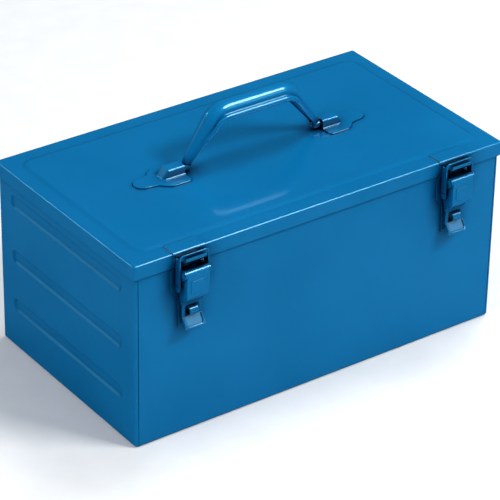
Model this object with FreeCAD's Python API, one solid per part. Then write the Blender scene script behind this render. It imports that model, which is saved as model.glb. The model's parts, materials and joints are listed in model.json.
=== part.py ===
"""Steel tool box: a folded sheet body, a hinged lid with a swing handle and two draw latches.

Millimetres. X runs along the box, Y to the back, Z up. The origin is the middle of the base.
"""

import FreeCAD, Part
import math
import os

V = FreeCAD.Vector

# ---------------------------------------------------------------- driving dimensions

LID_LENGTH = 412.0
LID_DEPTH = 231.0
RIM_TOP = 190.0            # height of the lid's outer rim above the ground
SKIRT = 14.0               # height of the lid's skirt
LID_SHEET = 1.0
LID_CORNER = 2.6           # radius of the skirt's upright corners
LID_FOLD = 2.0             # radius of the fold between lid and skirt

BODY_LENGTH = 407.0
BODY_DEPTH = 227.5
BODY_SHEET = 1.0
BODY_FOLD = 3.0            # radius of the folds along the bottom
BODY_TOP = RIM_TOP - LID_SHEET - 0.3
HEM = 8.0                  # height of the folded hem round the body's mouth
END_FOLD = 3.0             # radius of the end panels' folds
SEAM_GAP = 0.7             # open joint between the shell and the end panels' folds
END_FLANGE = 10.0          # reach of the end panels' flanges along X
JOGGLE = 1.0               # overlap in which an end flange steps under the shell

PANEL_LENGTH = 376.0       # top of the lid's raised panel
PANEL_DEPTH = 191.0
PANEL_RISE = 1.5
PANEL_SLOPE = 4.0          # horizontal run of the panel's soft edge
PANEL_CORNER = 9.0

RIB_LENGTH = 186.0         # pressed ribs in the end panels
RIB_HEIGHT = 14.0
RIB_DEPTH = 1.6
RIB_SLOPE = 2.2
RIB_BOTTOMS = (41.0, 93.5, 152.0)

GRIP_TOP = 251.7           # crown of the handle's grip
GRIP_WIDTH = 26.0
GRIP_DEPTH = 15.5          # from the crown to the open edge
GRIP_HALF = 32.0           # half length of the grip's straight run
BEND_RADIUS = 18.0         # of the crown line between grip and leg
BEND_STEPS = 6
LEG_SLOPE = 53.5
HANDLE_SHEET = 1.6
NECK_X = 75.2
NECK_WIDTH = 9.2
NECK_DEPTH = 8.4
FOOT_RADIUS = 3.8
FOOT_INNER = 69.0
FOOT_OUTER = 95.0

SADDLE_SHEET = 1.4
SADDLE_INNER = 78.0        # distance of the saddle's open end from the middle
SADDLE_TIP = 129.0
SADDLE_HALF_WIDTH = 19.5
HUMP_HALF_WIDTH = 6.4
HUMP_CREST = 2.6           # radius along the hump's upper edges
HUMP_ROOT = 2.0            # radius where the hump meets its plate
HUMP_HEIGHT = 10.0
HUMP_FLAT_END = 96.0
HUMP_FOOT_END = 103.0

LATCH_X = 148.0            # distance of each latch from the middle
LATCH_SHEET = 1.2
LEVER_AXIS_Z = 172.5
LEVER_AXIS_Y = -126.5
LINK_AXIS_Z = 157.0
LINK_AXIS_Y = -120.8
PIN_RADIUS = 1.75
RUNNING = 0.05             # radial clearance round a pin
ROLL_RADIUS = 4.0          # rolled top of the lever, round its pin
COVER_HALF = 11.8          # half width of the lever's cover
COVER_LOW = 147.0
STRIP_HALF = 10.5          # half width of the lever's lower strip and finger tab
STRIP_STAND = 5.3          # front of the strip, from the front of the base plate
TAB_TOP = 125.5            # where the finger tab flares out
TAB_DROP = 9.5
TAB_FLARE = 6.8
TAB_BEAD = 1.1             # radius of the bead round the finger tab
EAR_INNER = 12.1           # base plate's ears, beside the lever
EAR_OUTER = 13.3
ARM_INNER = 14.4           # link's arms, beside the ears
ARM_OUTER = 15.6
CATCH_HALF = 17.0          # half width of the catch's plate on the lid
CATCH_NECK_HALF = 13.8     # half width below the fold, between the link's arms
CATCH_REACH = 14.5         # length of the plate on the lid
STAPLE_Z = 131.0
STAPLE_HALF = 4.5
STAPLE_REACH = 9.8
HOOK_TOP = 188.3           # lip of the catch's upturned hook
HOOK_REACH = 11.5
HOOK_CURL = 5.0
RIVET_RADIUS = 1.6
RIVET_PLACES = ((-5.5, 161.0), (5.5, 161.0), (-5.5, 117.5), (5.5, 117.5))

HINGE_X = 120.0
HINGE_LENGTH = 56.0
HINGE_AXIS_Y = 118.7
HINGE_AXIS_Z = 175.6
KNUCKLE_RADIUS = 2.6
HINGE_PIN_RADIUS = 1.3
HINGE_SHEET = 1.2

# ---------------------------------------------------------------- derived places

BODY_X = BODY_LENGTH / 2
BODY_Y = BODY_DEPTH / 2
LID_X = LID_LENGTH / 2
LID_Y = LID_DEPTH / 2
SKIRT_BOTTOM = RIM_TOP - SKIRT
PANEL_TOP = RIM_TOP + PANEL_RISE
FRONT_WALL = -BODY_Y       # outer face of the body's front
FRONT_SKIRT = -LID_Y       # outer face of the lid's front skirt
FOOT_Z = PANEL_TOP + 4.4   # axis on which the handle swings


# ---------------------------------------------------------------- small helpers

def block(x0, x1, y0, y1, z0, z1):
    """Box between two corners."""
    return Part.makeBox(x1 - x0, y1 - y0, z1 - z0, V(x0, y0, z0))


def rod(radius, start, end):
    """Round bar between two points."""
    run = end - start
    return Part.makeCylinder(radius, run.Length, start, run)


def fuse(first, *others):
    """Union of solids with the seams between coplanar faces removed."""
    return first.multiFuse(list(others)).removeSplitter()


def mirrored(shape):
    """The same piece on the other side of the middle."""
    return shape.mirror(V(0, 0, 0), V(1, 0, 0))


def rounded_rect(half_x, half_y, radius, z=0.0):
    """Closed wire of a rectangle with round corners, level at height z."""
    edges = []
    corners = ((1, 1, 0), (-1, 1, 90), (-1, -1, 180), (1, -1, 270))
    ends = []
    for sx, sy, start in corners:
        centre = V(sx * (half_x - radius), sy * (half_y - radius), z)
        points = []
        for angle in (start, start + 45, start + 90):
            a = math.radians(angle)
            points.append(centre + V(radius * math.cos(a), radius * math.sin(a), 0))
        ends.append((points[0], points[2]))
        edges.append(Part.Arc(*points).toShape())
    for i in range(4):
        edges.append(Part.LineSegment(ends[i][1], ends[(i + 1) % 4][0]).toShape())
    return Part.Wire(Part.__sortEdges__(edges))


def prism(wire, along):
    """Solid swept straight from a closed planar wire."""
    return Part.Face(wire).extrude(along)


def polygon(points):
    """Closed wire through points."""
    return Part.makePolygon(list(points) + [points[0]])


def frustum(lower, upper):
    """Solid between two rounded rectangles, each (half_x, half_y, radius, z)."""
    return Part.makeLoft([rounded_rect(*lower), rounded_rect(*upper)], True, True)


def soften(shape, radius, chosen):
    """Fillet the edges for which chosen(box, edge) is true."""
    edges = [e for e in shape.Edges if chosen(e.BoundBox, e)]
    return shape.makeFillet(radius, edges)


def at_level(z):
    """Chooser of edges that lie level at height z."""
    return lambda box, edge: abs(box.ZMin - z) < 1e-4 and abs(box.ZMax - z) < 1e-4


def save(name, shape):
    """Write one node and report its solids."""
    shape.exportStep("parts/" + name + ".step")
    print("%-26s solids %d valid %s volume %.0f" % (name, len(shape.Solids), shape.isValid(), shape.Volume))


# ---------------------------------------------------------------- body

def body_block(inset, half_length):
    """Solid of the body's outline drawn in by inset, round along its two bottom folds."""
    y = BODY_Y - inset
    solid = block(-half_length, half_length, -y, y, inset, BODY_TOP)
    radius = BODY_FOLD - inset if inset < BODY_FOLD else 0.5
    return soften(solid, radius, lambda b, e: b.ZMax < inset + 1e-3 and b.XLength > 1.0)


def end_block(inset):
    """As body_block, but round along the end folds too."""
    y = BODY_Y - inset
    x = BODY_X - inset
    solid = block(-x, x, -y, y, inset, BODY_TOP)
    radius = END_FOLD - inset

    def fold(b, e):
        at_end = abs(abs(b.XMin) - x) < 1e-3 and b.XLength < 1e-3
        upright = b.ZLength > 1.0 and b.YLength < 1e-3
        bottom = b.ZMax < inset + 1e-3
        return (at_end and (upright or bottom)) or (bottom and b.XLength > 1.0)

    return soften(solid, radius, fold)


def shell():
    """Front, bottom and back folded from one sheet, with a hem along the two top edges."""
    half = BODY_X - END_FOLD - SEAM_GAP
    wall = body_block(0.0, half).cut(body_block(BODY_SHEET, half + 1))
    hems = []
    for side in (-1, 1):
        y0, y1 = sorted((side * (BODY_Y - BODY_SHEET), side * (BODY_Y - 2 * BODY_SHEET)))
        hems.append(block(-half, half, y0, y1, BODY_TOP - HEM, BODY_TOP))
    # The end flanges lie inside the shell, so the hem stops short of them.
    reach = BODY_X - END_FLANGE
    trimmed = [h.common(block(-reach, reach, -BODY_Y, BODY_Y, 0, RIM_TOP)) for h in hems]
    return fuse(wall, *trimmed)


def rib_tool(grow, shift):
    """Tool of one pressed rib about the origin, opening towards -X."""
    half_y = RIB_LENGTH / 2 + grow
    half_z = RIB_HEIGHT / 2 + grow
    mouth = (half_z, half_y, min(half_z, half_y) - 1.5, 0.0)
    floor = (half_z - RIB_SLOPE, half_y - RIB_SLOPE, half_z - RIB_SLOPE - 0.5, RIB_DEPTH)
    solid = frustum(mouth, floor)
    solid.rotate(V(0, 0, 0), V(0, 1, 0), 90)
    solid.translate(V(shift, 0, 0))
    return solid


def left_end_panel():
    """End panel: a pan whose flanges step in under the shell, with three ribs pressed inwards."""
    seam = -(BODY_X - END_FOLD)
    outer = end_block(0.0)
    middle = end_block(BODY_SHEET)
    inner = end_block(2 * BODY_SHEET)
    face_zone = block(-BODY_X - 1, seam, -BODY_Y - 1, BODY_Y + 1, -1, BODY_TOP)
    flange_zone = block(seam - JOGGLE, -BODY_X + END_FLANGE, -BODY_Y - 1, BODY_Y + 1, -1, BODY_TOP)
    face = outer.cut(middle).common(face_zone)
    flange = middle.cut(inner).common(flange_zone)
    x_in = -BODY_X + BODY_SHEET
    y_in = BODY_Y - 2 * BODY_SHEET
    hem = block(x_in, x_in + BODY_SHEET, -y_in, y_in, BODY_TOP - HEM, BODY_TOP).common(middle)
    panel = fuse(face, flange, hem)
    for bottom in RIB_BOTTOMS:
        place = V(-BODY_X, 0, bottom + RIB_HEIGHT / 2)
        bump = rib_tool(0.5, BODY_SHEET)
        bump.translate(place)
        groove = rib_tool(0.0, 0.0)
        groove.translate(place)
        panel = panel.fuse(bump).cut(groove)
    return panel.removeSplitter()


# ---------------------------------------------------------------- lid

def lid_block(inset):
    """Solid of the lid drawn in by inset: the skirt's outline, its fold and the raised panel."""
    top = RIM_TOP - inset
    rim = prism(rounded_rect(LID_X - inset, LID_Y - inset, LID_CORNER - inset, SKIRT_BOTTOM),
                V(0, 0, top - SKIRT_BOTTOM))
    rim = soften(rim, LID_FOLD - inset, at_level(top))
    half_x = PANEL_LENGTH / 2 - inset * 0.4
    half_y = PANEL_DEPTH / 2 - inset * 0.4
    foot = (half_x + PANEL_SLOPE, half_y + PANEL_SLOPE, PANEL_CORNER + PANEL_SLOPE, top)
    crown = (half_x, half_y, PANEL_CORNER, top + PANEL_RISE)
    lid = rim.fuse(frustum(foot, crown))
    lid = soften(lid, 4.0, at_level(top + PANEL_RISE))
    foot_edges = [e for e in lid.Edges if abs(e.BoundBox.ZMin - top) < 1e-3
                  and abs(e.BoundBox.ZMax - top) < 1e-3
                  and abs(e.CenterOfMass.x) < half_x + PANEL_SLOPE + 0.1
                  and abs(e.CenterOfMass.y) < half_y + PANEL_SLOPE + 0.1]
    return lid.makeFillet(4.0, foot_edges)


def lid_shell():
    """Lid pressed from one sheet."""
    inner = lid_block(LID_SHEET)
    below = prism(rounded_rect(LID_X - LID_SHEET, LID_Y - LID_SHEET, LID_CORNER - LID_SHEET,
                               SKIRT_BOTTOM - 1), V(0, 0, 1.5))
    return lid_block(0.0).cut(inner).cut(below)


# ---------------------------------------------------------------- handle and saddles

def channel_section(centre, direction, height, width):
    """Closed wire of the handle's section: a half round with short flanks, open on the inside.

    centre is the crown point, direction the way along the handle (in the XZ plane) and height the
    section's depth from the crown to the open edge.
    """
    inward = V(direction.z, 0, -direction.x)
    half = width / 2
    thick = min(HANDLE_SHEET, half * 0.42)

    def point(y, depth):
        return centre + inward * depth + V(0, y, 0)

    arc_depth = min(half, height * 0.84)
    outer = Part.Arc(point(-half, arc_depth),
                     point(0, 0),
                     point(half, arc_depth)).toShape()
    inner_half = half - thick
    inner = Part.Arc(point(inner_half, arc_depth),
                     point(0, thick),
                     point(-inner_half, arc_depth)).toShape()
    lines = [(point(half, arc_depth), point(half, height)),
             (point(half, height), point(inner_half, height)),
             (point(inner_half, height), point(inner_half, arc_depth)),
             (point(-inner_half, arc_depth), point(-inner_half, height)),
             (point(-inner_half, height), point(-half, height)),
             (point(-half, height), point(-half, arc_depth))]
    edges = [Part.LineSegment(a, b).toShape() for a, b in lines]
    return Part.Wire([outer, edges[0], edges[1], edges[2], inner, edges[3], edges[4], edges[5]])


def handle_stations():
    """Sections of the handle's right half: crown x and z, slope in degrees, depth and width."""
    stations = [(GRIP_HALF * i, GRIP_TOP, 0.0, GRIP_DEPTH, GRIP_WIDTH) for i in (0, 1)]
    for part in range(1, BEND_STEPS + 1):
        turn = LEG_SLOPE * part / BEND_STEPS
        a = math.radians(turn)
        x = GRIP_HALF + BEND_RADIUS * math.sin(a)
        z = GRIP_TOP - BEND_RADIUS * (1 - math.cos(a))
        share = part / BEND_STEPS
        stations.append((x, z, -turn, GRIP_DEPTH - 1.6 * share, GRIP_WIDTH - 2.5 * share))
    bend_x, bend_z, slope, bend_depth, bend_width = stations[-1]
    run = (NECK_X - bend_x) / math.cos(math.radians(LEG_SLOPE))
    for part in (1, 2):
        share = part / 2
        x = bend_x + (NECK_X - bend_x) * share
        z = bend_z - run * share * math.sin(math.radians(LEG_SLOPE))
        depth = bend_depth + (NECK_DEPTH - bend_depth) * share
        width = bend_width + (NECK_WIDTH - bend_width) * share
        stations.append((x, z, -LEG_SLOPE, depth, width))
    stations.append((NECK_X + 1.6, FOOT_Z + 3.4, -LEG_SLOPE - 20.0, NECK_DEPTH - 0.8, NECK_WIDTH - 1.2))
    return stations


def handle():
    """Handle pressed from one sheet: half-round grip, legs that narrow to the necks, round feet."""
    right = handle_stations()
    left = [(-x, z, -slope, depth, width) for x, z, slope, depth, width in reversed(right[1:])]
    sections = []
    for x, z, slope, depth, width in left + right:
        a = math.radians(slope)
        sections.append(channel_section(V(x, 0, z), V(math.cos(a), 0, math.sin(a)), depth, width))
    bow = Part.makeLoft(sections, True, True)
    feet = []
    for side in (-1, 1):
        foot = rod(FOOT_RADIUS, V(side * FOOT_INNER, 0, FOOT_Z), V(side * FOOT_OUTER, 0, FOOT_Z))
        feet.append(soften(foot, 0.8, lambda b, e: b.XLength < 1e-3))
    return bow.multiFuse(feet)


def saddle_outline():
    """Plan of the saddle's plate: wide at the handle, with shoulders and a narrow round tip."""
    points = [(SADDLE_INNER, SADDLE_HALF_WIDTH - 2.5),
              (SADDLE_INNER + 2.5, SADDLE_HALF_WIDTH),
              (SADDLE_INNER + 21.0, SADDLE_HALF_WIDTH),
              (SADDLE_INNER + 27.5, SADDLE_HALF_WIDTH - 4.5),
              (SADDLE_INNER + 31.0, SADDLE_HALF_WIDTH - 8.6),
              (SADDLE_INNER + 37.0, SADDLE_HALF_WIDTH - 10.0),
              (SADDLE_TIP - 8.0, SADDLE_HALF_WIDTH - 10.6)]
    upper = [V(x, y, PANEL_TOP) for x, y in points]
    lower = [V(p.x, -p.y, p.z) for p in reversed(upper)]
    tip = Part.Arc(upper[-1], V(SADDLE_TIP, 0, PANEL_TOP), lower[0]).toShape()
    edges = [Part.LineSegment(upper[i], upper[i + 1]).toShape() for i in range(len(upper) - 1)]
    edges.append(tip)
    edges += [Part.LineSegment(lower[i], lower[i + 1]).toShape() for i in range(len(lower) - 1)]
    edges.append(Part.LineSegment(lower[-1], upper[0]).toShape())
    return Part.Wire(edges)


def hump(inset):
    """Solid of the saddle's hollow hump drawn in by inset, with a sloped outer end."""
    start = SADDLE_INNER - 1.0 if inset else SADDLE_INNER
    top = PANEL_TOP + HUMP_HEIGHT - inset
    profile = polygon([V(start, 0, PANEL_TOP), V(start, 0, top),
                       V(HUMP_FLAT_END - inset * 0.4, 0, top),
                       V(HUMP_FOOT_END - inset * 1.2, 0, PANEL_TOP)])
    half = HUMP_HALF_WIDTH - inset
    solid = prism(profile, V(0, 2 * half, 0))
    solid.translate(V(0, -half, 0))
    radius = HUMP_CREST - inset

    def crest(b, e):
        along = b.YLength < 1e-3 and b.ZMax > PANEL_TOP + 1.0 and b.XLength > 0.5
        return along and b.ZMin > PANEL_TOP - 1e-3 and (b.ZMin > top - 1e-3 or b.ZLength > 1.0)

    return soften(solid, radius, crest)


def right_saddle():
    """Saddle that holds one foot of the handle down on the lid."""
    level = PANEL_TOP + SADDLE_SHEET
    plate = prism(saddle_outline(), V(0, 0, SADDLE_SHEET))
    rim = at_level(level)
    plate = soften(plate, 0.8, lambda b, e: rim(b, e) and b.XMax > SADDLE_INNER + 0.1)
    pressed = fuse(plate, hump(0.0))

    def root(b, e):
        flat = b.ZLength < 1e-3 and abs(b.ZMin - level) < 1e-3
        inside = abs(b.YMax) < HUMP_HALF_WIDTH + 0.1 and abs(b.YMin) < HUMP_HALF_WIDTH + 0.1
        return flat and inside and b.XMax < HUMP_FOOT_END + 0.1

    pressed = soften(pressed, HUMP_ROOT, root)
    return pressed.cut(hump(SADDLE_SHEET)).removeSplitter()


# ---------------------------------------------------------------- latches, built about x = 0

def latch_base():
    """Base plate on the body's front: two ears for the lever's pin and a staple for a padlock."""
    back = FRONT_WALL
    front = back - LATCH_SHEET
    half = [(11.0, 112.5), (11.0, 143.0), (19.0, 152.5), (19.0, 174.6)]
    outline = [V(x, back, z) for x, z in half] + [V(-x, back, z) for x, z in reversed(half)]
    plate = prism(polygon(outline), V(0, -LATCH_SHEET, 0))
    plate = soften(plate, 2.0, lambda b, e: b.YLength > 1.0 and b.XLength < 1e-3 and b.ZLength < 1e-3)
    plate = soften(plate, 0.4, lambda b, e: b.YMax < front + 1e-3)
    ears = []
    for x0 in (-EAR_OUTER, EAR_INNER):
        ear = prism(polygon([V(x0, front + 0.2, 160.5), V(x0, front - 3.2, 160.5),
                             V(x0, LEVER_AXIS_Y - 3.0, LEVER_AXIS_Z - 2.9),
                             V(x0, LEVER_AXIS_Y, LEVER_AXIS_Z + ROLL_RADIUS),
                             V(x0, front - 3.0, 174.4), V(x0, front + 0.2, 174.4)]),
                    V(EAR_OUTER - EAR_INNER, 0, 0))
        cap = rod(ROLL_RADIUS + 0.1, V(x0, LEVER_AXIS_Y, LEVER_AXIS_Z),
                  V(x0 + EAR_OUTER - EAR_INNER, LEVER_AXIS_Y, LEVER_AXIS_Z))
        ears.append(ear.fuse(cap))
    crown = front - STAPLE_REACH
    rise = 4.4
    outer = block(-STAPLE_HALF, STAPLE_HALF, crown, front + 0.2, STAPLE_Z - rise, STAPLE_Z + rise)
    outer = soften(outer, rise - 0.2, lambda b, e: b.XLength > 1.0 and b.YMax < crown + 1.0)
    bore_radius = rise - LATCH_SHEET
    eye = block(-8, 8, crown + rise, front + 0.1, STAPLE_Z - bore_radius, STAPLE_Z + bore_radius)
    bend = rod(bore_radius, V(-8, crown + rise, STAPLE_Z), V(8, crown + rise, STAPLE_Z))
    staple = outer.cut(eye.fuse(bend))
    base = fuse(plate, staple, *ears)
    bore = rod(PIN_RADIUS, V(-15, LEVER_AXIS_Y, LEVER_AXIS_Z), V(15, LEVER_AXIS_Y, LEVER_AXIS_Z))
    base = base.cut(bore)
    for x, z in RIVET_PLACES:
        base = base.cut(rod(RIVET_RADIUS, V(x, back + 1, z), V(x, front - 1, z)))
    return base


def rivet(centre, outward, grip):
    """Rivet with a low round head outside and a flat one inside; centre is on the outer face."""
    shank = rod(RIVET_RADIUS, centre - outward * (grip + 0.6), centre + outward * 0.4)
    head = rod(RIVET_RADIUS * 1.9, centre, centre + outward * 0.9)
    head = soften(head, 0.6, lambda b, e: (e.CenterOfMass - centre).dot(outward) > 0.5)
    tail = rod(RIVET_RADIUS * 1.7, centre - outward * (grip + 0.6), centre - outward * grip)
    return fuse(shank, head, tail)


def latch_base_rivets():
    """The four rivets of one latch base."""
    face = FRONT_WALL - LATCH_SHEET
    grip = LATCH_SHEET + BODY_SHEET
    return [rivet(V(x, face, z), V(0, -1, 0), grip) for x, z in RIVET_PLACES]


def headed_pin(y, z, half_length, radius, head):
    """Round pin along X with a thin head at each end."""
    pin = rod(radius, V(-half_length, y, z), V(half_length, y, z))
    caps = []
    for side in (-1, 1):
        cap = rod(radius + head, V(side * half_length, y, z), V(side * (half_length + 0.8), y, z))
        edge = side * (half_length + 0.8)
        caps.append(soften(cap, 0.5, lambda b, e: abs(b.XMin - edge) < 1e-3 and b.XLength < 1e-3))
    return fuse(pin, *caps)


def tab_bead(strip_y):
    """Round bead along both sides and the foot of the finger tab."""
    run = V(0, -TAB_FLARE, -TAB_DROP)
    along = V(run).normalize()
    top = V(0, strip_y, TAB_TOP) + along * 1.5
    foot = V(0, strip_y, TAB_TOP) + run - along * TAB_BEAD
    x = STRIP_HALF - TAB_BEAD
    inset = 2.2
    corner = [top + V(-x, 0, 0), foot + V(-x, 0, 0) - along * inset, foot + V(-x + inset, 0, 0),
              foot + V(x - inset, 0, 0), foot + V(x, 0, 0) - along * inset, top + V(x, 0, 0)]
    bead = rod(TAB_BEAD, corner[0], corner[1])
    for start, end in zip(corner[1:], corner[2:]):
        bead = bead.fuse(rod(TAB_BEAD, start, end))
    for joint in corner:
        bead = bead.fuse(Part.makeSphere(TAB_BEAD, joint))
    return bead


def latch_lever():
    """Lever: a rolled top on the pin, a channel that covers the link's pin, and a flared finger tab."""
    front = LEVER_AXIS_Y - ROLL_RADIUS
    strip_y = FRONT_WALL - LATCH_SHEET - STRIP_STAND
    roll = rod(ROLL_RADIUS, V(-COVER_HALF, LEVER_AXIS_Y, LEVER_AXIS_Z),
               V(COVER_HALF, LEVER_AXIS_Y, LEVER_AXIS_Z))
    face = block(-COVER_HALF, COVER_HALF, front, front + LATCH_SHEET, COVER_LOW + 4.5, LEVER_AXIS_Z)
    field = block(-8.0, 8.0, front - 0.3, front + 0.2, COVER_LOW + 6.5, LEVER_AXIS_Z - 6.0)
    field = soften(field, 2.0, lambda b, e: b.YLength > 0.3 and b.XLength < 1e-3 and b.ZLength < 1e-3)
    field = soften(field, 0.25, lambda b, e: b.YMax < front - 0.2)
    cheeks = []
    for x0 in (-COVER_HALF, COVER_HALF - LATCH_SHEET):
        cheek = prism(polygon([V(x0, front + 0.6, LEVER_AXIS_Z - 1.0),
                               V(x0, front + 5.6, LEVER_AXIS_Z - 1.0),
                               V(x0, front + 5.6, 164.0),
                               V(x0, LINK_AXIS_Y + 3.6, 160.0),
                               V(x0, LINK_AXIS_Y + 3.6, 149.0),
                               V(x0, strip_y + LATCH_SHEET, COVER_LOW - 6.5),
                               V(x0, strip_y - 0.2, COVER_LOW - 7.0),
                               V(x0, front + 0.6, COVER_LOW + 4.5)]), V(LATCH_SHEET, 0, 0))
        cheeks.append(cheek)
    # From the cover's foot the sheet runs back to the narrower lower strip.
    path = [(front, COVER_LOW + 4.8), (front + 0.5, COVER_LOW + 2.2), (front + 2.0, COVER_LOW),
            (front + 4.4, COVER_LOW - 1.8), (strip_y - 1.2, COVER_LOW - 4.4), (strip_y, COVER_LOW - 7.0),
            (strip_y, TAB_TOP), (strip_y - TAB_FLARE, TAB_TOP - TAB_DROP)]
    sheet = sheet_along(path, LATCH_SHEET, COVER_HALF)
    shoulder = COVER_LOW - 8.0
    for side in (-1, 1):
        x0, x1 = sorted((side * STRIP_HALF, side * (COVER_HALF + 1)))
        sheet = sheet.cut(block(x0, x1, strip_y - 12, strip_y + 5, 90, shoulder))
    sheet = soften(sheet, 2.6, lambda b, e: b.ZMax < TAB_TOP - TAB_DROP + 1.5 and b.XLength < 1e-3
                   and abs(abs(b.XMin) - STRIP_HALF) < 1e-3 and e.Length < 2.0)
    slot = block(-7.0, 7.0, strip_y - 2.0, strip_y + 3.0, STAPLE_Z - 5.3, STAPLE_Z + 5.3)
    slot = soften(slot, 1.0, lambda b, e: b.YLength > 1.0)
    lever = roll.multiFuse([face, field, sheet, tab_bead(strip_y)] + cheeks).cut(slot)
    lever_bore = rod(PIN_RADIUS + RUNNING, V(-20, LEVER_AXIS_Y, LEVER_AXIS_Z),
                     V(20, LEVER_AXIS_Y, LEVER_AXIS_Z))
    link_bore = rod(PIN_RADIUS + RUNNING, V(-20, LINK_AXIS_Y, LINK_AXIS_Z), V(20, LINK_AXIS_Y, LINK_AXIS_Z))
    return lever.cut(lever_bore).cut(link_bore).removeSplitter()


def sheet_along(path, thick, half_width):
    """Bent strip whose front face follows path, a list of (y, z) from the top down."""
    front = [V(-half_width, y, z) for y, z in path]
    back = []
    for i, p in enumerate(front):
        before = front[max(i - 1, 0)]
        after = front[min(i + 1, len(front) - 1)]
        run = (after - before).normalize()
        back.append(p + V(0, -run.z, run.y) * thick)
    outline = polygon(front + list(reversed(back)))
    return prism(outline, V(2 * half_width, 0, 0))


def latch_link():
    """Link: a front bar that drops into the catch, and an arm down each side to the pin."""
    front = LINK_AXIS_Y - 3.2
    top = RIM_TOP + 0.5
    low = 186.2
    bar = block(-ARM_OUTER, ARM_OUTER, front, front + LATCH_SHEET, low, top)
    bar = soften(bar, 3.6, lambda b, e: b.YLength > 1.0 and b.XLength < 1e-3 and b.ZMin > low + 1e-3)
    bar = soften(bar, 0.5, lambda b, e: b.XLength > 20 and b.ZMin > top - 1e-3)
    arms = []
    for x0 in (-ARM_OUTER, ARM_INNER):
        arm = block(x0, x0 + LATCH_SHEET, front, LINK_AXIS_Y + 3.2, LINK_AXIS_Z, top - 4.0)
        end = rod(3.2, V(x0, LINK_AXIS_Y, LINK_AXIS_Z), V(x0 + LATCH_SHEET, LINK_AXIS_Y, LINK_AXIS_Z))
        arms.append(arm.fuse(end))
    link = fuse(bar, *arms)
    bore = rod(PIN_RADIUS + RUNNING, V(-20, LINK_AXIS_Y, LINK_AXIS_Z), V(20, LINK_AXIS_Y, LINK_AXIS_Z))
    return link.cut(bore)


def latch_catch():
    """Catch: a plate folded over the lid's front edge, ending in an upturned hook."""
    skin = FRONT_SKIRT
    thick = 1.0
    low = SKIRT_BOTTOM + 0.8
    half = CATCH_HALF
    outer = block(-half, half, skin - thick, skin + CATCH_REACH, low, RIM_TOP + thick)
    outer = soften(outer, LID_FOLD + thick,
                   lambda b, e: b.XLength > 1.0 and b.YMax < skin and b.ZMin > RIM_TOP)
    under = block(-half - 1, half + 1, skin, skin + CATCH_REACH + 1, low - 5, RIM_TOP)
    under = soften(under, LID_FOLD,
                   lambda b, e: b.XLength > 1.0 and b.YMax < skin + 1e-3 and b.ZMin > RIM_TOP - 1e-3)
    wrap = outer.cut(under)
    # Below the fold the plate is narrower, so that the link's arms pass beside it.
    for side in (-1, 1):
        x0, x1 = sorted((side * CATCH_NECK_HALF, side * (half + 1)))
        wrap = wrap.cut(block(x0, x1, skin - 2, skin + 0.001, low - 1, RIM_TOP - LID_FOLD))
    root = skin - thick + 0.3
    lip_y = root - HOOK_REACH
    floor = HOOK_TOP - HOOK_CURL - 1.2
    outer = HOOK_CURL + thick
    outline = [
        Part.LineSegment(V(0, root, floor), V(0, lip_y + outer, floor)),
        Part.Arc(V(0, lip_y + outer, floor),
                 V(0, lip_y + 0.293 * outer, floor + 0.293 * outer),
                 V(0, lip_y, floor + outer)),
        Part.LineSegment(V(0, lip_y, floor + outer), V(0, lip_y, HOOK_TOP)),
        Part.LineSegment(V(0, lip_y, HOOK_TOP), V(0, lip_y + thick, HOOK_TOP)),
        Part.LineSegment(V(0, lip_y + thick, HOOK_TOP), V(0, lip_y + thick, floor + outer)),
        Part.Arc(V(0, lip_y + thick, floor + outer),
                 V(0, lip_y + thick + 0.293 * HOOK_CURL, floor + thick + 0.293 * HOOK_CURL),
                 V(0, lip_y + outer, floor + thick)),
        Part.LineSegment(V(0, lip_y + outer, floor + thick), V(0, root, floor + thick)),
        Part.LineSegment(V(0, root, floor + thick), V(0, root, floor)),
    ]
    hook = prism(Part.Wire([piece.toShape() for piece in outline]), V(22.0, 0, 0))
    hook.translate(V(-11.0, 0, 0))
    return fuse(wrap, hook)


# ---------------------------------------------------------------- hinges, built about x = 0

def knuckles(count_from):
    """Barrel pieces of one leaf: every other fifth of the hinge's length."""
    pitch = HINGE_LENGTH / 5
    gap = 0.15
    pieces = []
    for i in range(count_from, 5, 2):
        x0 = -HINGE_LENGTH / 2 + i * pitch + gap
        x1 = x0 + pitch - 2 * gap
        barrel = rod(KNUCKLE_RADIUS, V(x0, HINGE_AXIS_Y, HINGE_AXIS_Z), V(x1, HINGE_AXIS_Y, HINGE_AXIS_Z))
        pieces.append((x0, x1, barrel))
    return pieces


BODY_LEAF_RIVETS = (-20.0, 0.0, 20.0)
LID_LEAF_RIVETS = (-20.0, 20.0)
BODY_LEAF_RIVET_Z = 156.0
LID_LEAF_RIVET_Z = 183.8


def hinge_body_leaf():
    """Leaf on the body's back, cranked out to its three knuckles."""
    skin = BODY_Y
    leaf = block(-HINGE_LENGTH / 2, HINGE_LENGTH / 2, skin, skin + HINGE_SHEET, 146.0, 168.5)
    leaf = soften(leaf, 4.0, lambda b, e: b.YLength > 1.0 and b.ZMax < 147.0 and b.XLength < 1e-3)
    parts = [leaf]
    for x0, x1, barrel in knuckles(0):
        crank = prism(polygon([V(x0, skin, 167.5), V(x0, skin + HINGE_SHEET, 167.5),
                               V(x0, HINGE_AXIS_Y + KNUCKLE_RADIUS, HINGE_AXIS_Z - 0.5),
                               V(x0, HINGE_AXIS_Y + KNUCKLE_RADIUS - 1.4, HINGE_AXIS_Z - 0.5)]),
                      V(x1 - x0, 0, 0))
        parts += [barrel, crank]
    leaf = fuse(*parts)
    leaf = leaf.cut(rod(HINGE_PIN_RADIUS, V(-50, HINGE_AXIS_Y, HINGE_AXIS_Z),
                        V(50, HINGE_AXIS_Y, HINGE_AXIS_Z)))
    for x in BODY_LEAF_RIVETS:
        leaf = leaf.cut(rod(RIVET_RADIUS, V(x, skin - 1, BODY_LEAF_RIVET_Z),
                            V(x, skin + 3, BODY_LEAF_RIVET_Z)))
    return leaf


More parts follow.
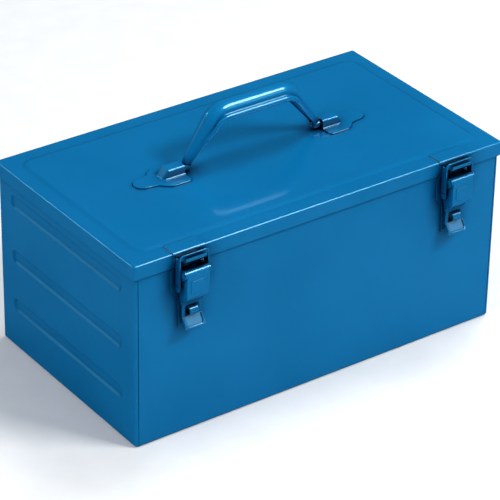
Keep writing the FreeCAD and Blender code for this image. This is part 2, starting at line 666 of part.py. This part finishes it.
def hinge_lid_leaf():
    """Leaf on the lid's rear skirt, with two knuckles."""
    skin = LID_Y
    low = HINGE_AXIS_Z + 3.2
    leaf = block(-HINGE_LENGTH / 2, HINGE_LENGTH / 2, skin, skin + HINGE_SHEET, low, RIM_TOP - 2.6)
    parts = [leaf]
    for x0, x1, barrel in knuckles(1):
        crank = prism(polygon([V(x0, skin, low), V(x0, skin + HINGE_SHEET, low + 1.0),
                               V(x0, HINGE_AXIS_Y + 0.8, HINGE_AXIS_Z + 2.3),
                               V(x0, HINGE_AXIS_Y - 2.0, HINGE_AXIS_Z + 1.0)]),
                      V(x1 - x0, 0, 0))
        parts += [barrel, crank]
    leaf = fuse(*parts)
    leaf = leaf.cut(rod(HINGE_PIN_RADIUS + RUNNING, V(-50, HINGE_AXIS_Y, HINGE_AXIS_Z),
                        V(50, HINGE_AXIS_Y, HINGE_AXIS_Z)))
    for x in LID_LEAF_RIVETS:
        leaf = leaf.cut(rod(RIVET_RADIUS, V(x, skin - 1, LID_LEAF_RIVET_Z),
                            V(x, skin + 3, LID_LEAF_RIVET_Z)))
    return leaf


def hinge_pin():
    """Pin through the five knuckles of one hinge."""
    return headed_pin(HINGE_AXIS_Y, HINGE_AXIS_Z, HINGE_LENGTH / 2, HINGE_PIN_RADIUS, 0.7)


def moved(shape, x):
    """Copy of a piece slid along X."""
    copy = shape.copy()
    copy.translate(V(x, 0, 0))
    return copy


def rivet_holes(shape, places, start, end, x_shift):
    """Cut round rivet holes along Y through a sheet."""
    for x, z in places:
        shape = shape.cut(rod(RIVET_RADIUS, V(x + x_shift, start, z), V(x + x_shift, end, z)))
    return shape


def main():
    os.makedirs("parts", exist_ok=True)
    sides = (("left", -1), ("right", 1))
    body_leaf_places = [(x, BODY_LEAF_RIVET_Z) for x in BODY_LEAF_RIVETS]
    lid_leaf_places = [(x, LID_LEAF_RIVET_Z) for x in LID_LEAF_RIVETS]

    body = shell()
    lid = lid_shell()
    for name, side in sides:
        body = rivet_holes(body, RIVET_PLACES, FRONT_WALL - 3, FRONT_WALL + 3, side * LATCH_X)
        body = rivet_holes(body, body_leaf_places, BODY_Y - 3, BODY_Y + 3, side * HINGE_X)
        lid = rivet_holes(lid, lid_leaf_places, LID_Y - 3, LID_Y + 3, side * HINGE_X)
    save("body_shell", body)
    save("lid_shell", lid)
    panel = left_end_panel()
    save("end_panel_left", panel)
    save("end_panel_right", mirrored(panel))
    save("handle", handle())
    saddle = right_saddle()
    save("saddle_right", saddle)
    save("saddle_left", mirrored(saddle))

    latch_pieces = {"latch_base": latch_base(),
                    "latch_base_rivets": Part.makeCompound(latch_base_rivets()),
                    "lever_pin": headed_pin(LEVER_AXIS_Y, LEVER_AXIS_Z, EAR_OUTER, PIN_RADIUS, 0.9),
                    "latch_lever": latch_lever(),
                    "link_pin": headed_pin(LINK_AXIS_Y, LINK_AXIS_Z, ARM_OUTER, PIN_RADIUS, 0.9),
                    "latch_link": latch_link(),
                    "latch_catch": latch_catch()}
    hinge_pieces = {"hinge_body_leaf": hinge_body_leaf(),
                    "hinge_lid_leaf": hinge_lid_leaf(),
                    "hinge_pin": hinge_pin()}
    for name, side in sides:
        for piece, shape in latch_pieces.items():
            save(piece + "_" + name, moved(shape, side * LATCH_X))
        for piece, shape in hinge_pieces.items():
            save(piece + "_" + name, moved(shape, side * HINGE_X))

    body_rivets = []
    lid_rivets = []
    for name, side in sides:
        for x in BODY_LEAF_RIVETS:
            centre = V(side * HINGE_X + x, BODY_Y + HINGE_SHEET, BODY_LEAF_RIVET_Z)
            body_rivets.append(rivet(centre, V(0, 1, 0), HINGE_SHEET + BODY_SHEET))
        for x in LID_LEAF_RIVETS:
            centre = V(side * HINGE_X + x, LID_Y + HINGE_SHEET, LID_LEAF_RIVET_Z)
            lid_rivets.append(rivet(centre, V(0, 1, 0), HINGE_SHEET + LID_SHEET))
    save("hinge_body_rivets", Part.makeCompound(body_rivets))
    save("hinge_lid_rivets", Part.makeCompound(lid_rivets))


main()
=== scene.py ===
"""A blue steel tool box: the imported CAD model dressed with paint, metal, light and a studio floor."""

import json
import math

import bmesh
import bpy
from mathutils import Matrix, Vector


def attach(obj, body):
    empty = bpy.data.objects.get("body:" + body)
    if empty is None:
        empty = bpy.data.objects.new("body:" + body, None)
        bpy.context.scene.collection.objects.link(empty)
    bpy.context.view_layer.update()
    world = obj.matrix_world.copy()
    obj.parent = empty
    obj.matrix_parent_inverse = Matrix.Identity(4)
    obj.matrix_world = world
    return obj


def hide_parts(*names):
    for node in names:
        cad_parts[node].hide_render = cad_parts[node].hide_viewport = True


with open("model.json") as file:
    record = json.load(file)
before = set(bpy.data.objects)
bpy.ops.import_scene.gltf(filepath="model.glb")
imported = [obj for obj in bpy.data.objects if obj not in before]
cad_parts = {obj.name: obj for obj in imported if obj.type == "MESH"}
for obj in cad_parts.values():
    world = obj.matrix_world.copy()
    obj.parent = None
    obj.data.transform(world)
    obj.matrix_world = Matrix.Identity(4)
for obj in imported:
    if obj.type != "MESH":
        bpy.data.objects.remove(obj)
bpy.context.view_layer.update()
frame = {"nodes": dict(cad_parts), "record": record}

NODES = frame["nodes"]
MM = 0.001

# Camera, in metres, degrees and millimetres: an orbit around a point on the box's middle line, then
# a small turn, because that point sits a little off the picture's middle.
VIEW_AZIMUTH = -35.9124
VIEW_ELEVATION = 30.3047
VIEW_ROLL = 1.0101
VIEW_DISTANCE = 2.6126
VIEW_TARGET = Vector((0.0, 0.0, 0.0948))
TURN_UP = -0.212197
TURN_SIDE = -0.013586
SENSOR = 36.0
LENS = 199.79352
CLIP_NEAR = 0.1
CLIP_FAR = 50.0

# Handle, in millimetres and degrees: crown line, then depth and width of its sections, then the feet.
GRIP_TOP = 251.7
GRIP_HALF = 30.0
BEND_RADIUS = 28.0
LEG_SLOPE = 57.0
NECK_X = 75.2
NECK_DROP_X = 1.6
NECK_TURN = 20.0
SHEET = 1.6
GRIP_DEPTH, GRIP_WIDTH = 15.5, 26.0
BEND_DEPTH, BEND_WIDTH = 13.9, 25.0
NECK_DEPTH, NECK_WIDTH = 8.4, 9.2
END_DEPTH, END_WIDTH = 7.6, 8.0
FOOT_Z = 195.9
FOOT_RADIUS = 3.8
FOOT_INNER = 69.0
FOOT_OUTER = 95.0
END_ABOVE_FOOT = 3.4

# Section of the handle's sheet, as shares of its half width, and in degrees.
BEAD_SHARE = 0.245
CROWN_SHARE = 0.73
THIN_SHARE = 0.34
CROWN_TURN = 86.0
ROLL_START = -76.0
ROLL_TURN = 256.0

# Number of steps along the handle and around its sections.
GRIP_STEPS, BEND_STEPS, LEG_STEPS, NECK_STEPS = 6, 18, 16, 3
CROWN_STEPS, ROLL_STEPS, FOOT_STEPS = 14, 16, 32

# Studio, in metres and watts.
FLOOR_SIZE = 12.0
FLOOR_DROP = 0.0002
LIT_POINT = (0, 0, 0.1)
WHITE = (1, 1, 1)
# Soft boxes that light the surfaces: name, place, size, power, colour.
LIGHTING_BOXES = (
    ("key", (1.05, -1.45, 2.05), (0.9, 0.5), 42, WHITE),
    ("top_back", (0.9, 0.3, 2.3), (0.7, 0.7), 20, WHITE),
    ("left_fill", (-2.2, -0.3, 1.6), (1.2, 1.2), 21, WHITE),
)
# Soft boxes that only draw highlights.
GLOSS_BOXES = (
    ("gloss_front", (0.94, -1.25, 2.05), (1.3, 0.8), 75, (0.62, 0.92, 1.0)),
    ("gloss_low", (1.30, -1.85, 1.30), (0.9, 0.35), 3.2, (0.55, 0.88, 1.0)),
    ("gloss_left", (-1.25, 1.77, 1.45), (0.5, 0.3), 6, (0.35, 0.8, 1.0)),
    ("gloss_ribs", (-1.60, 1.76, 0.85), (0.8, 0.5), 1.6, (0.25, 0.8, 1.0)),
)
# World backgrounds by kind of ray: colour and strength.
WORLD_LIGHTING = ((0.86, 0.93, 1.0, 1), 0.40)
WORLD_IN_GLOSS = ((0.10, 0.45, 0.85, 1), 0.16)
WORLD_SEEN = ((1, 1, 1, 1), 1.0)

# Paint: reach of the painted shade in recesses, and heights over which it fades out, in metres.
RECESS_SHADE_REACH = 0.020
FADE_BOTTOM = 0.018
FADE_TOP = 0.034


class Tree:
    """A small helper around a material's node tree."""

    def __init__(self, name):
        self.material = bpy.data.materials.new(name)
        self.material.use_nodes = True
        self.nodes = self.material.node_tree.nodes
        self.links = self.material.node_tree.links
        self.shader = self.nodes["Principled BSDF"]

    def add(self, kind, **settings):
        node = self.nodes.new(kind)
        for key, value in settings.items():
            if key in node.inputs:
                node.inputs[key].default_value = value
            else:
                setattr(node, key, value)
        return node

    def link(self, out_node, out_name, in_node, in_name):
        self.links.new(out_node.outputs[out_name], in_node.inputs[in_name])

    def ramp(self, source, output, stops):
        """A colour ramp fed by source; stops are (position, colour)."""
        node = self.nodes.new("ShaderNodeValToRGB")
        node.color_ramp.interpolation = "EASE"
        elements = node.color_ramp.elements
        while len(elements) < len(stops):
            elements.new(0.5)
        for element, (position, colour) in zip(elements, stops):
            element.position = position
            element.color = colour
        self.link(source, output, node, "Fac")
        return node


def blue_paint():
    """Gloss enamel: fine orange peel, faint drift in tone and gloss, and painted shade darkening
    recesses and gaps between parts.
    """
    t = Tree("blue_enamel")
    place = t.add("ShaderNodeTexCoord")
    drift = t.add("ShaderNodeTexNoise", Scale=9.0, Detail=3.0)
    t.link(place, "Object", drift, "Vector")
    shade = t.ramp(drift, "Fac", [(0.30, (0.0010, 0.140, 0.345, 1)),
                                  (0.70, (0.0016, 0.158, 0.385, 1))])
    # Painted shade: recesses and gaps between parts are darkened in the base colour by an ambient
    # occlusion node; close to the ground this painted shade fades out.
    recess = t.nodes.new("ShaderNodeAmbientOcclusion")
    recess.inputs["Distance"].default_value = RECESS_SHADE_REACH
    recess.samples = 8
    depth = t.ramp(recess, "AO", [(0.33, (0.02, 0.04, 0.08, 1)),
                                  (0.77, (0.30, 0.38, 0.46, 1)),
                                  (0.97, (1, 1, 1, 1))])
    split = t.add("ShaderNodeSeparateXYZ")
    t.link(place, "Object", split, "Vector")
    height = t.nodes.new("ShaderNodeMapRange")
    height.inputs["From Min"].default_value = FADE_BOTTOM
    height.inputs["From Max"].default_value = FADE_TOP
    t.link(split, "Z", height, "Value")
    # Painted shade multiplied into the base colour, faded out near the ground.
    painted_recess_shade = t.nodes.new("ShaderNodeMixRGB")
    painted_recess_shade.blend_type = "MULTIPLY"
    t.link(height, "Result", painted_recess_shade, "Fac")
    t.link(shade, "Color", painted_recess_shade, "Color1")
    t.link(depth, "Color", painted_recess_shade, "Color2")
    t.link(painted_recess_shade, "Color", t.shader, "Base Color")
    gloss = t.ramp(drift, "Fac", [(0.3, (0.30, 0.30, 0.30, 1)), (0.7, (0.37, 0.37, 0.37, 1))])
    t.link(gloss, "Color", t.shader, "Roughness")
    peel = t.add("ShaderNodeTexNoise", Scale=520.0, Detail=1.0)
    wave = t.add("ShaderNodeTexNoise", Scale=42.0, Detail=1.0)
    t.link(place, "Object", peel, "Vector")
    t.link(place, "Object", wave, "Vector")
    fine = t.add("ShaderNodeBump", Strength=0.05, Distance=0.0004)
    t.link(peel, "Fac", fine, "Height")
    broad = t.add("ShaderNodeBump", Strength=0.08, Distance=0.002)
    t.link(wave, "Fac", broad, "Height")
    t.link(fine, "Normal", broad, "Normal")
    t.link(broad, "Normal", t.shader, "Normal")
    t.shader.inputs["Specular IOR Level"].default_value = 0.50
    t.shader.inputs["Specular Tint"].default_value = (0.06, 0.62, 1.0, 1.0)
    t.shader.inputs["Coat Weight"].default_value = 0.8
    t.shader.inputs["Coat Roughness"].default_value = 0.07
    t.shader.inputs["Coat IOR"].default_value = 1.5
    return t.material


def zinc_steel():
    """Plated pin steel with fine lengthwise draw marks."""
    t = Tree("zinc_plate")
    t.shader.inputs["Metallic"].default_value = 1.0
    place = t.add("ShaderNodeTexCoord")
    stretch = t.add("ShaderNodeMapping", Scale=(120.0, 900.0, 900.0))
    grain = t.add("ShaderNodeTexNoise", Scale=1.0, Detail=2.0)
    t.link(place, "Object", stretch, "Vector")
    t.link(stretch, "Vector", grain, "Vector")
    shade = t.ramp(grain, "Fac", [(0.3, (0.52, 0.54, 0.56, 1)), (0.7, (0.70, 0.72, 0.74, 1))])
    t.link(shade, "Color", t.shader, "Base Color")
    gloss = t.ramp(grain, "Fac", [(0.3, (0.24, 0.24, 0.24, 1)), (0.7, (0.38, 0.38, 0.38, 1))])
    t.link(gloss, "Color", t.shader, "Roughness")
    return t.material


def floor_material():
    """White paper: faint mottling, and dimmer and bluer where it shows in the paint's gloss."""
    t = Tree("studio_floor")
    place = t.add("ShaderNodeTexCoord")
    mottle = t.add("ShaderNodeTexNoise", Scale=30.0, Detail=4.0)
    t.link(place, "Object", mottle, "Vector")
    shade = t.ramp(mottle, "Fac", [(0.3, (0.90, 0.90, 0.905, 1)), (0.7, (0.93, 0.93, 0.93, 1))])
    path = t.add("ShaderNodeLightPath")
    pick = t.nodes.new("ShaderNodeMixRGB")
    t.link(path, "Is Glossy Ray", pick, "Fac")
    t.link(shade, "Color", pick, "Color1")
    pick.inputs["Color2"].default_value = (0.01, 0.10, 0.20, 1)
    t.link(pick, "Color", t.shader, "Base Color")
    t.shader.inputs["Roughness"].default_value = 0.9
    t.shader.inputs["Specular IOR Level"].default_value = 0.0
    return t.material


def smooth_step(share):
    """Share from 0 to 1 with a soft start and a soft end."""
    return share * share * (3.0 - 2.0 * share)


def blend(start, end, share):
    """Value that lies at share of the way from start to end."""
    return start + (end - start) * share


def handle_stations():
    """Right half of the handle's crown line: x, z, slope in degrees, depth and width of the section."""
    stations = []
    for i in range(GRIP_STEPS + 1):
        stations.append((GRIP_HALF * i / GRIP_STEPS, GRIP_TOP, 0.0, GRIP_DEPTH, GRIP_WIDTH))
    for i in range(1, BEND_STEPS + 1):
        share = i / BEND_STEPS
        turn = math.radians(LEG_SLOPE * share)
        soft = smooth_step(share)
        stations.append((GRIP_HALF + BEND_RADIUS * math.sin(turn),
                         GRIP_TOP - BEND_RADIUS * (1 - math.cos(turn)),
                         -LEG_SLOPE * share,
                         blend(GRIP_DEPTH, BEND_DEPTH, soft),
                         blend(GRIP_WIDTH, BEND_WIDTH, soft)))
    leg_x, leg_z = stations[-1][:2]
    fall = math.tan(math.radians(LEG_SLOPE))
    for i in range(1, LEG_STEPS + 1):
        share = i / LEG_STEPS
        x = blend(leg_x, NECK_X, share)
        stations.append((x, leg_z - (x - leg_x) * fall, -LEG_SLOPE,
                         blend(BEND_DEPTH, NECK_DEPTH, share),
                         blend(BEND_WIDTH, NECK_WIDTH, share)))
    neck_z = stations[-1][1]
    for i in range(1, NECK_STEPS + 1):
        share = i / NECK_STEPS
        stations.append((NECK_X + NECK_DROP_X * share,
                         blend(neck_z, FOOT_Z + END_ABOVE_FOOT, share),
                         -LEG_SLOPE - NECK_TURN * share,
                         blend(NECK_DEPTH, END_DEPTH, share),
                         blend(NECK_WIDTH, END_WIDTH, share)))
    return stations


def handle_section(depth, width):
    """Closed outline (across, inward) of the pressed channel: round crown and stout rolled edges."""
    half = width / 2
    thick = min(SHEET, half * THIN_SHARE)
    bead = half * BEAD_SHARE
    crown_radius = half * CROWN_SHARE
    inner_radius = crown_radius - thick
    crown = [math.radians(CROWN_TURN) * i / CROWN_STEPS for i in range(CROWN_STEPS + 1)]
    roll = [math.radians(ROLL_START + ROLL_TURN * i / ROLL_STEPS) for i in range(ROLL_STEPS + 1)]
    outer = [(crown_radius * math.sin(a), crown_radius * (1 - math.cos(a))) for a in crown]
    outer += [(half - bead + bead * math.cos(a), depth - bead + bead * math.sin(a)) for a in roll]
    inner = [(inner_radius * math.sin(a), thick + inner_radius * (1 - math.cos(a)))
             for a in reversed(crown)]
    right = outer + inner
    left = [(-across, inward) for across, inward in reversed(right[1:-1])]
    return right + left


def foot_profile():
    """Outline (x, radius) of a round foot with softened ends."""
    edge = ((0.0, 2.6), (0.35, 3.4), (1.1, FOOT_RADIUS))
    inner = [(FOOT_INNER + along, radius) for along, radius in edge]
    outer = [(FOOT_OUTER - along, radius) for along, radius in reversed(edge)]
    return inner + outer


def bridge(mesh, rings):
    """Faces between each ring of points and the next."""
    for first, second in zip(rings, rings[1:]):
        for i in range(len(first)):
            j = (i + 1) % len(first)
            mesh.faces.new((first[i], first[j], second[j], second[i]))


def add_tube(mesh, rings):
    """Closed tube through the rings."""
    bridge(mesh, rings)
    for ring in (rings[0], rings[-1]):
        mesh.faces.new(ring)


def handle_mesh():
    """The handle as one smooth swept sheet with its two round feet."""
    mesh = bmesh.new()
    right = handle_stations()
    left = [(-x, z, -slope, depth, width) for x, z, slope, depth, width in reversed(right[1:])]
    rings = []
    for x, z, slope, depth, width in left + right:
        angle = math.radians(slope)
        inward = Vector((math.sin(angle), 0, -math.cos(angle)))
        rings.append([mesh.verts.new((Vector((x, 0, z)) + inward * d + Vector((0, a, 0))) * MM)
                      for a, d in handle_section(depth, width)])
    add_tube(mesh, rings)
    turns = [2 * math.pi * i / FOOT_STEPS for i in range(FOOT_STEPS)]
    for side in (-1, 1):
        discs = []
        for x, radius in foot_profile():
            points = [Vector((side * x, radius * math.cos(a), FOOT_Z + radius * math.sin(a)))
                      for a in turns]
            discs.append([mesh.verts.new(point * MM) for point in points])
        add_tube(mesh, discs)
    bmesh.ops.recalc_face_normals(mesh, faces=mesh.faces)
    return mesh


def add_handle(paint):
    """Smooth handle in place of the CAD's plain one, on the same body."""
    data = bpy.data.meshes.new("handle_sheet")
    mesh = handle_mesh()
    mesh.to_mesh(data)
    mesh.free()
    data.polygons.foreach_set("use_smooth", [True] * len(data.polygons))
    handle = bpy.data.objects.new("handle_sheet", data)
    bpy.context.scene.collection.objects.link(handle)
    data.materials.append(paint)
    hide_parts("handle")
    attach(handle, "handle")


def dress_nodes(looks):
    """Give every CAD node the material of its slot."""
    slots = {part["node"]: part["material_slot"] for part in frame["record"]["subparts"]}
    for name, node in NODES.items():
        for place in node.material_slots:
            place.material = looks[slots[name]]


def add_floor():
    """Plain pale floor just under the box."""
    bpy.ops.mesh.primitive_plane_add(size=FLOOR_SIZE, location=(0, 0, -FLOOR_DROP))
    floor = bpy.context.object
    floor.name = "studio_floor"
    floor.data.materials.append(floor_material())


def add_area(name, location, size, power, colour, gloss):
    """A soft box; with gloss it only draws highlights, without it only lights the surfaces."""
    light = bpy.data.lights.new(name, "AREA")
    light.shape = "RECTANGLE"
    light.size, light.size_y = size
    light.energy = power
    light.color = colour
    lamp = bpy.data.objects.new(name, light)
    bpy.context.scene.collection.objects.link(lamp)
    lamp.location = location
    aim = Vector(LIT_POINT) - Vector(location)
    lamp.rotation_euler = aim.to_track_quat("-Z", "Y").to_euler()
    lamp.visible_diffuse = not gloss
    lamp.visible_glossy = gloss


def add_lights():
    for box in LIGHTING_BOXES:
        add_area(*box, gloss=False)
    for box in GLOSS_BOXES:
        add_area(*box, gloss=True)


def add_world():
    """Even white surroundings that show dim in gloss, so that only the soft boxes draw highlights."""
    world = bpy.data.worlds.new("studio")
    bpy.context.scene.world = world
    world.use_nodes = True
    nodes, links = world.node_tree.nodes, world.node_tree.links
    path = nodes.new("ShaderNodeLightPath")
    shades = []
    for colour, strength in (WORLD_LIGHTING, WORLD_IN_GLOSS, WORLD_SEEN):
        shade = nodes.new("ShaderNodeBackground")
        shade.inputs["Color"].default_value = colour
        shade.inputs["Strength"].default_value = strength
        shades.append(shade.outputs["Background"])
    lighting, in_gloss, seen = shades
    by_gloss = nodes.new("ShaderNodeMixShader")
    links.new(path.outputs["Is Glossy Ray"], by_gloss.inputs["Fac"])
    links.new(lighting, by_gloss.inputs[1])
    links.new(in_gloss, by_gloss.inputs[2])
    by_camera = nodes.new("ShaderNodeMixShader")
    links.new(path.outputs["Is Camera Ray"], by_camera.inputs["Fac"])
    links.new(by_gloss.outputs["Shader"], by_camera.inputs[1])
    links.new(seen, by_camera.inputs[2])
    links.new(by_camera.outputs["Shader"], nodes["World Output"].inputs["Surface"])


def add_camera():
    """Long lens on the orbit, rolled and turned a little."""
    azimuth, elevation, roll = (math.radians(v) for v in (VIEW_AZIMUTH, VIEW_ELEVATION, VIEW_ROLL))
    back = Vector((math.sin(azimuth) * math.cos(elevation),
                   -math.cos(azimuth) * math.cos(elevation),
                   math.sin(elevation)))
    level_right = Vector((0, 0, 1)).cross(back).normalized()
    level_up = back.cross(level_right)
    right = level_right * math.cos(roll) + level_up * math.sin(roll)
    up = level_up * math.cos(roll) - level_right * math.sin(roll)
    axes = Matrix((right, up, back)).transposed()
    turn = (Matrix.Rotation(math.radians(TURN_UP), 3, "X")
            @ Matrix.Rotation(math.radians(TURN_SIDE), 3, "Y"))
    data = bpy.data.cameras.new("camera")
    data.sensor_width = SENSOR
    data.lens = LENS
    data.clip_start = CLIP_NEAR
    data.clip_end = CLIP_FAR
    camera = bpy.data.objects.new("camera", data)
    bpy.context.scene.collection.objects.link(camera)
    place = Matrix.Translation(VIEW_TARGET + back * VIEW_DISTANCE)
    camera.matrix_world = place @ (axes @ turn).to_4x4()
    bpy.context.scene.camera = camera


bpy.context.scene.view_settings.view_transform = "Standard"
looks = {"blue_paint": blue_paint(), "zinc_steel": zinc_steel()}
dress_nodes(looks)
add_handle(looks["blue_paint"])
add_floor()
add_world()
add_lights()
add_camera()
